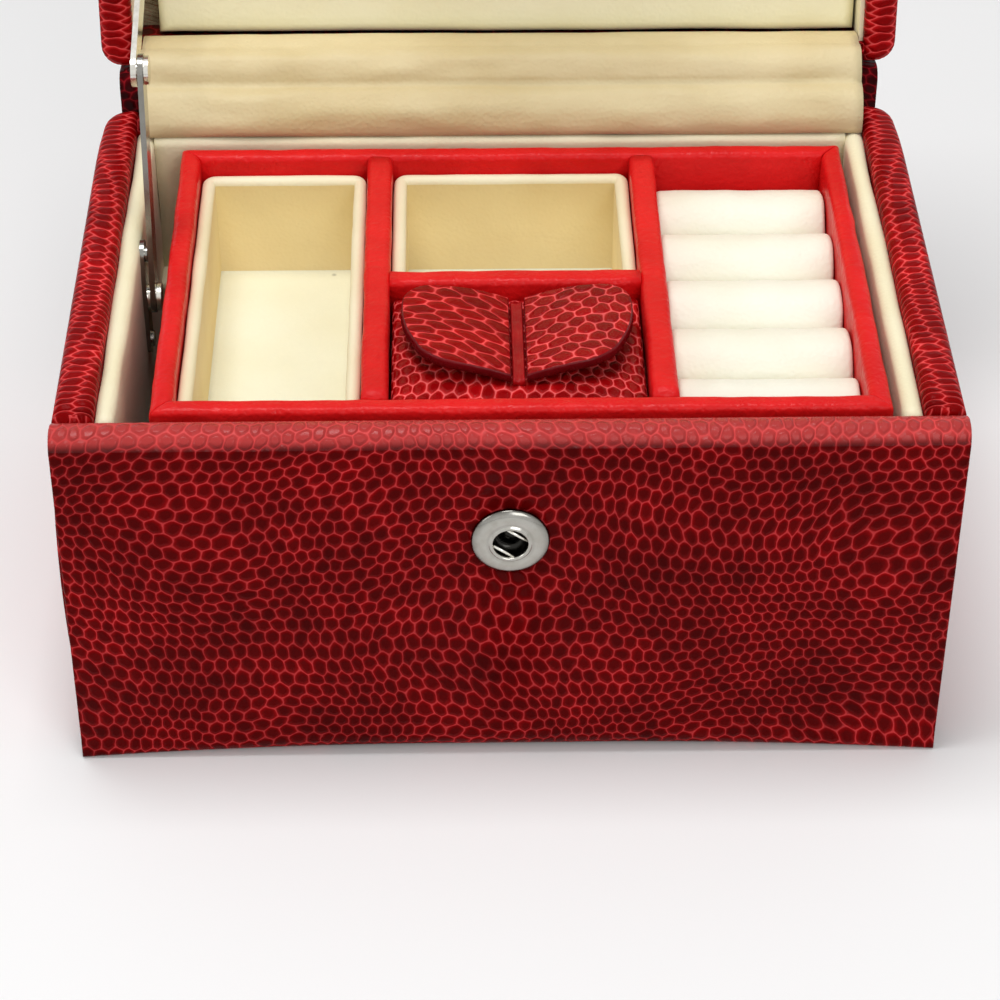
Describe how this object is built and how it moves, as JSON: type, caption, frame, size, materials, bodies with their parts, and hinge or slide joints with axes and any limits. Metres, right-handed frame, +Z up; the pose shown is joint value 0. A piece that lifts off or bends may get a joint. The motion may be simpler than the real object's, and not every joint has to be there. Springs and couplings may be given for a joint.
{
  "type": "travel jewellery box",
  "caption": "Travel jewellery box in scaled red leather: hinged lid on a folding stay, snap tab, and a lift-out tray with lined bins, ring rolls and a covered compartment over a lined well.",
  "frame": {"origin": "centre of the base underside of the case", "axes": "+X to the right seen from the front, +Y to the back where the lid is hinged, +Z up"},
  "size_m": [0.158, 0.1509, 0.1964],
  "materials": {
    "lizard_leather": "semi-gloss embossed scale leather, dark red scales with brighter red lines",
    "smooth_leather": "satin fine-grain red leather",
    "cream_lining": "soft matt cream lining leather over thin padding",
    "board": "pressed board, hidden",
    "nickel": "polished nickel plate",
    "spring_steel": "bright drawn wire"
  },
  "bodies": {
    "case": {"case_base_board": "board", "case_wall_boards": "board", "case_front_cover": "lizard_leather", "case_back_cover": "lizard_leather", "case_left_cover": "lizard_leather", "case_right_cover": "lizard_leather", "case_base_cover": "lizard_leather", "lining_front": "cream_lining", "lining_back": "cream_lining", "lining_left": "cream_lining", "lining_right": "cream_lining", "lining_floor": "cream_lining", "tray_ledge_front": "cream_lining", "tray_ledge_back": "cream_lining", "snap_socket": "nickel", "snap_spring": "spring_steel", "snap_post": "nickel", "hinge_strip": "lizard_leather", "hinge_lining": "cream_lining", "stay_case_plate": "nickel", "stay_case_rivet": "nickel", "stay_case_screws": "nickel"},
    "lid": {"lid_top_board": "board", "lid_wall_boards": "board", "lid_top_cover": "lizard_leather", "lid_front_cover": "lizard_leather", "lid_back_cover": "lizard_leather", "lid_left_cover": "lizard_leather", "lid_right_cover": "lizard_leather", "lid_panel": "cream_lining", "lid_wall_linings": "cream_lining", "stay_lid_plate": "nickel", "stay_lid_rivet": "nickel", "stay_lid_screws": "nickel", "tab_anchor": "lizard_leather"},
    "closure_tab": {"closure_tab": "lizard_leather", "closure_tab_lining": "smooth_leather", "snap_cap": "nickel", "snap_stud": "nickel"},
    "stay_lower": {"stay_lower_link": "nickel", "stay_elbow_rivet": "nickel"},
    "stay_upper": {"stay_upper_link": "nickel"},
    "tray": {"tray_base": "smooth_leather", "tray_front_wall": "smooth_leather", "tray_back_wall": "smooth_leather", "tray_left_wall": "smooth_leather", "tray_right_wall": "smooth_leather", "tray_divider_left": "smooth_leather", "tray_divider_right": "smooth_leather", "tray_crossbar": "smooth_leather", "left_bin": "cream_lining", "rear_bin": "cream_lining", "covered_bin": "cream_lining", "ring_bed": "cream_lining", "ring_rolls": "cream_lining"},
    "compartment_lid": {"compartment_lid": "lizard_leather", "pull_seam": "smooth_leather"},
    "wing_left": {"pull_wing_left": "lizard_leather"},
    "wing_right": {"pull_wing_right": "lizard_leather"}
  },
  "joints": [
    {"name": "lid_hinge", "type": "hinge", "parent": "case", "child": "lid", "pos_m": [0, 0.058, 0.075], "axis": [-1, 0, 0], "range_deg": [-100, 0], "deforming": ["hinge_strip", "hinge_lining"]},
    {"name": "stay_lower_pivot", "type": "hinge", "parent": "case", "child": "stay_lower", "pos_m": [-0.0651, 0.009, 0.0585], "axis": [-1, 0, 0], "range_deg": [-100, 0]},
    {"name": "stay_upper_pivot", "type": "hinge", "parent": "lid", "child": "stay_upper", "pos_m": [-0.0663, 0.06663, 0.11816], "axis": [-1, 0, 0], "range_deg": [0, 100]},
    {"name": "tab_flex", "type": "hinge", "parent": "lid", "child": "closure_tab", "pos_m": [0, 0.07895, 0.18808], "axis": [-1, 0, 0], "range_deg": [0, 90]},
    {"name": "tray_lift", "type": "slide", "parent": "case", "child": "tray", "axis": [0, 0, 1], "range_m": [0, 0.06]},
    {"name": "compartment_lift", "type": "slide", "parent": "tray", "child": "compartment_lid", "axis": [0, 0, 1], "range_m": [0, 0.03]},
    {"name": "wing_left_flex", "type": "hinge", "parent": "compartment_lid", "child": "wing_left", "pos_m": [-0.00032, -0.021, 0.0691], "axis": [0, 1, 0], "range_deg": [-8, 35], "stiffness_Nm_per_rad": 0.003},
    {"name": "wing_right_flex", "type": "hinge", "parent": "compartment_lid", "child": "wing_right", "pos_m": [0.00408, -0.021, 0.0691], "axis": [0, -1, 0], "range_deg": [-8, 35], "stiffness_Nm_per_rad": 0.003}
  ],
  "couplings": [
    {"joint": "stay_lower_pivot", "follows": "lid_hinge", "ratio": 1},
    {"joint": "stay_upper_pivot", "follows": "lid_hinge", "ratio": -1}
  ]
}
